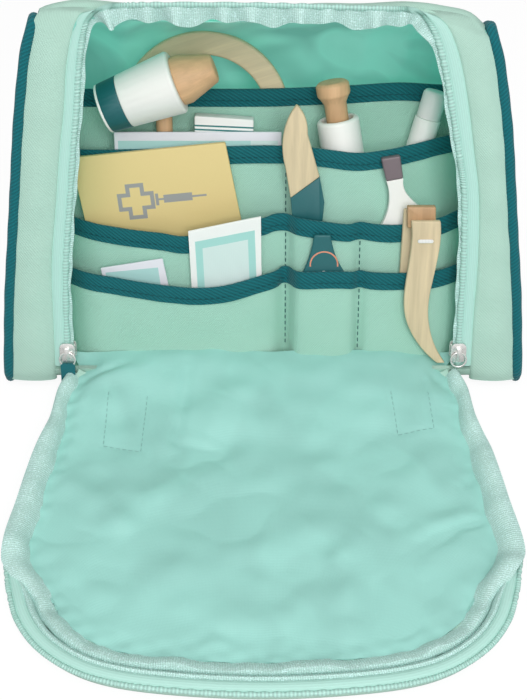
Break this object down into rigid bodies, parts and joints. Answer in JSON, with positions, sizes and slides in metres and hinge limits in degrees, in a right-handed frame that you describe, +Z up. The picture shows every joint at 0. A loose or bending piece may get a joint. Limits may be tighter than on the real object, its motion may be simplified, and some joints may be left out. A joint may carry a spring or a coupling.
{
  "type": "toy vet bag",
  "caption": "Soft mint carry bag with a zip-round front flap laid open and stepped inner pockets holding wooden and paper toy vet tools",
  "frame": {"origin": "middle of the base, on the floor", "axes": "+Z up, -Y the way the flap opens, +X to the right seen from the front"},
  "size_m": [0.254, 0.308, 0.1812],
  "materials": {
    "mint_twill": "woven polyester twill, matt",
    "teal_piping": "woven corded piping",
    "mint_lining": "thin woven lining with a satin sheen",
    "seam_binding": "loosely woven binding tape with a silvery sheen",
    "teal_binding": "ribbed woven binding tape",
    "zip_tape": "smooth woven zip tape",
    "zip_teeth": "nylon coil",
    "webbing": "woven webbing",
    "zip_metal": "nickel-plated",
    "tab_fabric": "folded woven tab",
    "pale_wood": "bare, fine sanded",
    "warm_wood": "bare, fine sanded",
    "white_painted_wood": "white satin paint",
    "teal_painted_wood": "teal satin paint",
    "taupe_painted_wood": "taupe satin paint",
    "box_card": "printed card, teal bands",
    "mint_card": "printed card with a pale border",
    "ochre_card": "printed card",
    "cotton_cloth": "soft cotton with a white edge",
    "elastic": "white elastic cord"
  },
  "bodies": {
    "bag": {"back_handle_ends": "webbing", "back_panel": "mint_twill", "base_panel": "mint_twill", "front_frame": "mint_twill", "interior_lining": "mint_lining", "mint_card": "mint_card", "ochre_booklet": "ochre_card", "organiser_backing": "mint_twill", "piping_left": "teal_piping", "piping_right": "teal_piping", "plaster_box": "box_card", "pocket_binding_1": "teal_binding", "pocket_binding_2": "teal_binding", "pocket_binding_3": "teal_binding", "pocket_binding_4": "teal_binding", "pocket_tier_1": "mint_twill", "pocket_tier_2": "mint_twill", "pocket_tier_3": "mint_twill", "pocket_tier_4": "mint_twill", "seam_allowance": "seam_binding", "side_panel_left": "mint_twill", "side_panel_right": "mint_twill", "top_panel": "mint_twill", "zip_coil": "zip_teeth", "zip_tape": "zip_tape"},
    "flap": {"flap_panel": "mint_twill", "flap_lining": "mint_lining", "flap_binding": "seam_binding", "flap_zip_tape": "zip_tape", "flap_zip_coil": "zip_teeth", "front_handle_ends": "webbing"},
    "front_handle": {"front_handle": "webbing"},
    "back_handle": {"back_handle": "webbing"},
    "slider_left": {"slider_left": "zip_metal"},
    "slider_right": {"slider_right": "zip_metal"},
    "puller_left": {"puller_left": "zip_metal", "pull_tab": "tab_fabric"},
    "puller_right": {"puller_right": "zip_metal"},
    "otoscope": {"otoscope_head": "white_painted_wood", "otoscope_collar": "teal_painted_wood", "otoscope_rim": "white_painted_wood", "otoscope_nozzle": "warm_wood", "otoscope_handle": "warm_wood"},
    "wooden_ring": {"wooden_ring": "pale_wood"},
    "syringe_barrel": {"syringe_barrel": "white_painted_wood"},
    "syringe_plunger": {"syringe_plunger": "warm_wood"},
    "tube": {"tube_body": "white_painted_wood", "tube_cap": "white_painted_wood"},
    "scalpel": {"scalpel_blade": "pale_wood", "scalpel_handle": "teal_painted_wood"},
    "thermometer": {"thermometer_tip": "taupe_painted_wood", "thermometer_body": "white_painted_wood"},
    "tweezers": {"tweezers_rear_leg": "pale_wood", "tweezers_spacer": "warm_wood"},
    "tweezers_front": {"tweezers_front_leg": "pale_wood", "tweezers_elastic": "elastic"},
    "paddle": {"paddle": "teal_painted_wood"},
    "folded_cloth": {"folded_cloth": "cotton_cloth"},
    "small_card": {"small_card": "mint_card"}
  },
  "joints": [
    {"name": "flap_hinge", "type": "hinge", "parent": "bag", "child": "flap", "pos_m": [0, -0.065, 0.011], "axis": [-1, 0, 0], "range_deg": [0, 108]},
    {"name": "front_handle_swing", "type": "hinge", "parent": "flap", "child": "front_handle", "pos_m": [0, -0.12215, 0.0001], "axis": [1, 0, 0], "range_deg": [0, 170]},
    {"name": "back_handle_swing", "type": "hinge", "parent": "bag", "child": "back_handle", "pos_m": [0, 0.05869, 0.05933], "axis": [-1, 0, 0], "range_deg": [0, 130]},
    {"name": "slider_left_run", "type": "slide", "parent": "bag", "child": "slider_left", "axis": [-0.02, -0.342, -0.9395], "range_m": [-0.026, 0]},
    {"name": "slider_right_run", "type": "slide", "parent": "bag", "child": "slider_right", "axis": [0.02, -0.342, -0.9395], "range_m": [-0.026, 0]},
    {"name": "puller_left_swing", "type": "hinge", "parent": "slider_left", "child": "puller_left", "pos_m": [-0.09605, -0.06426, 0.02079], "axis": [1, 0, 0], "range_deg": [-150, 0]},
    {"name": "puller_right_swing", "type": "hinge", "parent": "slider_right", "child": "puller_right", "pos_m": [0.09605, -0.06426, 0.02079], "axis": [1, 0, 0], "range_deg": [-150, 0]},
    {"name": "otoscope_lift", "type": "slide", "parent": "bag", "child": "otoscope", "axis": [0, 0.342, 0.9397], "range_m": [0, 0.02]},
    {"name": "wooden_ring_lift", "type": "slide", "parent": "bag", "child": "wooden_ring", "axis": [0, 0.342, 0.9397], "range_m": [0, 0.007]},
    {"name": "syringe_lift", "type": "slide", "parent": "bag", "child": "syringe_barrel", "axis": [0, 0.342, 0.9397], "range_m": [0, 0.033]},
    {"name": "syringe_plunger_travel", "type": "slide", "parent": "syringe_barrel", "child": "syringe_plunger", "axis": [0.1736, -0.3368, -0.9254], "range_m": [-0.015, 0.01]},
    {"name": "tube_lift", "type": "slide", "parent": "bag", "child": "tube", "axis": [0, 0.342, 0.9397], "range_m": [0, 0.038]},
    {"name": "scalpel_lift", "type": "slide", "parent": "bag", "child": "scalpel", "axis": [0, 0.342, 0.9397], "range_m": [0, 0.045]},
    {"name": "thermometer_lift", "type": "slide", "parent": "bag", "child": "thermometer", "axis": [0, 0.342, 0.9397], "range_m": [0, 0.068]},
    {"name": "tweezers_lift", "type": "slide", "parent": "bag", "child": "tweezers", "axis": [0, 0.342, 0.9397], "range_m": [0, 0.04]},
    {"name": "tweezers_spread", "type": "hinge", "parent": "tweezers", "child": "tweezers_front", "pos_m": [0, -0.03412, 0.08064], "axis": [1, 0, 0], "range_deg": [-4, 0], "stiffness_Nm_per_rad": 0.02},
    {"name": "paddle_lift", "type": "slide", "parent": "bag", "child": "paddle", "axis": [0, 0.342, 0.9397], "range_m": [0, 0.08]},
    {"name": "cloth_lift", "type": "slide", "parent": "bag", "child": "folded_cloth", "axis": [0, 0.342, 0.9397], "range_m": [0, 0.09]},
    {"name": "small_card_lift", "type": "slide", "parent": "bag", "child": "small_card", "axis": [0, 0.342, 0.9397], "range_m": [0, 0.1]}
  ]
}
